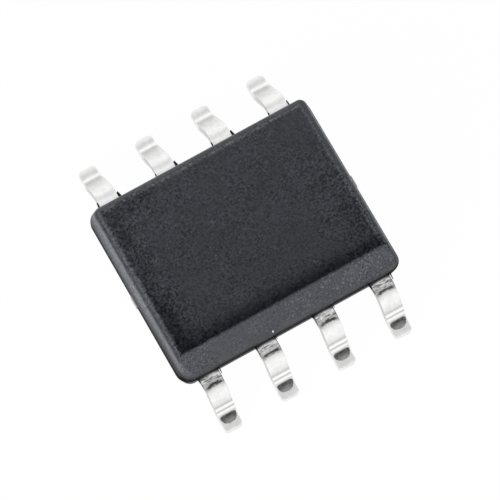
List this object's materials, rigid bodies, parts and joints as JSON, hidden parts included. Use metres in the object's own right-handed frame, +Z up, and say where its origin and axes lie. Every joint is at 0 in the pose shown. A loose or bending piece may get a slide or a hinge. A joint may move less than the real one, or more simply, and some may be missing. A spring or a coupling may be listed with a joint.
{
  "type": "real-time clock chip",
  "caption": "Surface-mount clock chip: a black moulded block with one bevelled top edge and bent tin-plated leads in a row on each long side, holding a wired silicon die.",
  "frame": {"origin": "centre of the package on the board plane, under the feet of the leads", "axes": "+X along the lead rows, from lead 1 towards lead 4; +Y across the rows, away from the bevelled lead 1 side; +Z up from the board"},
  "size_m": [0.005, 0.006, 0.0016],
  "materials": {
    "mould": "matte, fine grain",
    "tin_plate": "satin",
    "frame_copper": "satin",
    "adhesive": "matte",
    "silicon": "polished",
    "gold_wire": "bright"
  },
  "bodies": {
    "root": {"body": "mould", "lead_1": "tin_plate", "lead_2": "tin_plate", "lead_3": "tin_plate", "lead_4": "tin_plate", "lead_5": "tin_plate", "lead_6": "tin_plate", "lead_7": "tin_plate", "lead_8": "tin_plate", "die_paddle": "frame_copper", "die_attach": "adhesive", "die": "silicon", "bond_wire_1": "gold_wire", "bond_wire_2": "gold_wire", "bond_wire_3": "gold_wire", "bond_wire_4": "gold_wire", "bond_wire_5": "gold_wire", "bond_wire_6": "gold_wire", "bond_wire_7": "gold_wire", "bond_wire_8": "gold_wire"}
  },
  "joints": []
}
